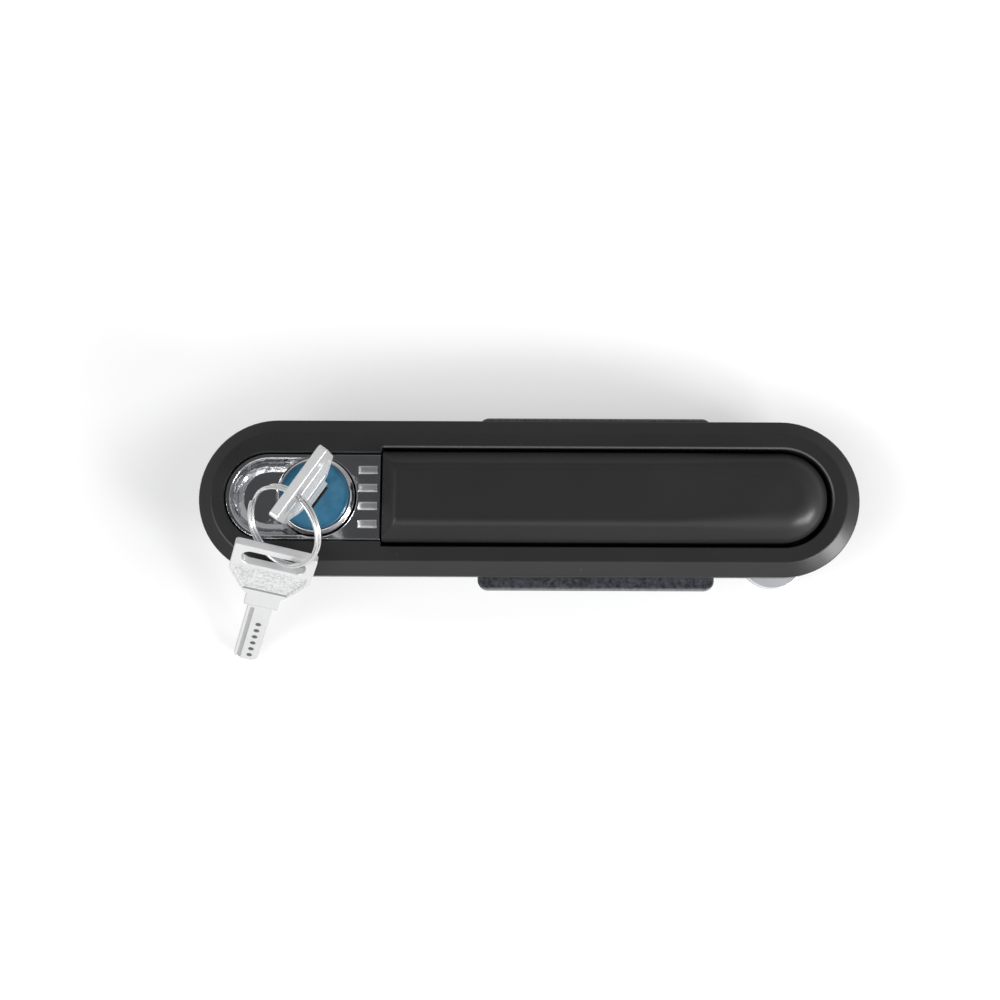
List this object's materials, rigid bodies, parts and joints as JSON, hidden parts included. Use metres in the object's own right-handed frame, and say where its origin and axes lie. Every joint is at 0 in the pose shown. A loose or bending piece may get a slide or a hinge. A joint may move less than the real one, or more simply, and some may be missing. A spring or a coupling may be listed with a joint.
{
  "type": "swing handle lock",
  "caption": "Flush cabinet door lock with a lift-up lever, push button, key cylinder, clamp bracket, rod crank, and keys on a ring.",
  "frame": {"origin": "middle of the door cut-out, on the door's front face, where the bezel's back seats", "axes": "+Z out of the door, +X along the lock from the key cylinder to the handle's spindle, +Y across it"},
  "size_m": [0.19, 0.071, 0.06],
  "materials": {
    "black_coat": "fine satin powder coat on die-cast zinc",
    "bright_chrome": "polished chrome plate",
    "blue_enamel": "gloss enamel",
    "zinc_plate": "dull zinc plate",
    "bright_zinc": "bright zinc plate",
    "nickel": "tumbled nickel plate",
    "spring_steel": "plain spring steel",
    "brass": "machined"
  },
  "bodies": {
    "lock_body": {"housing": "black_coat", "case_back_plate": "zinc_plate", "cover_screws": "bright_zinc", "clamp_bracket": "zinc_plate", "clamp_washers": "bright_zinc", "clamp_screws": "bright_zinc", "spindle": "bright_zinc", "pivot_pin": "bright_zinc", "lift_spring": "spring_steel", "cylinder_barrel": "bright_chrome", "ring_nut": "brass", "button_springs": "spring_steel", "slider_springs": "spring_steel"},
    "lever": {"handle": "black_coat"},
    "crank": {"crank_plate": "bright_zinc", "rod_pins": "bright_zinc", "spring_washer": "spring_steel", "crank_nut": "bright_zinc"},
    "button": {"push_button": "bright_chrome"},
    "slider": {"latch_slider": "bright_zinc"},
    "plug": {"cylinder_plug": "brass", "plug_face_cap": "blue_enamel", "cylinder_cam": "bright_zinc", "cam_screw": "bright_zinc"},
    "inserted_key": {"key": "nickel"},
    "ring": {"key_ring": "nickel"},
    "second_key": {"spare_key": "nickel"}
  },
  "joints": [
    {"name": "handle_lift", "type": "hinge", "parent": "lock_body", "child": "lever", "pos_m": [0.0725, 0, 0.001], "axis": [0, 1, 0], "range_deg": [0, 35]},
    {"name": "crank_turn", "type": "hinge", "parent": "lock_body", "child": "crank", "pos_m": [0.0725, 0, -0.0168], "axis": [0, 0, 1], "range_deg": [0, 90]},
    {"name": "button_push", "type": "slide", "parent": "lock_body", "child": "button", "axis": [0, 0, -1], "range_m": [0, 0.003], "stiffness_N_per_m": 800, "springref_m": -0.004, "deforming": ["button_springs"]},
    {"name": "slider_travel", "type": "slide", "parent": "lock_body", "child": "slider", "axis": [-1, 0, 0], "range_m": [0, 0.003], "deforming": ["slider_springs"]},
    {"name": "key_turn", "type": "hinge", "parent": "lock_body", "child": "plug", "pos_m": [-0.061, 0, 0], "axis": [0, 0, 1], "range_deg": [-55, 35]},
    {"name": "key_pull", "type": "slide", "parent": "plug", "child": "inserted_key", "axis": [0, 0, 1], "range_m": [0, 0.03]},
    {"name": "ring_turn", "type": "hinge", "parent": "inserted_key", "child": "ring", "pos_m": [-0.06278, -0.00254, 0.0302], "axis": [0, 0, 1], "range_deg": [-35, 55]},
    {"name": "spare_key_swing", "type": "hinge", "parent": "ring", "child": "second_key", "pos_m": [-0.06919, -0.01933, 0.01567], "axis": [-0.8478, 0.4486, -0.2828], "range_deg": [-2, 30]}
  ],
  "couplings": [
    {"joint": "slider_travel", "follows": "button_push", "ratio": 1},
    {"joint": "ring_turn", "follows": "key_turn", "ratio": -1}
  ]
}
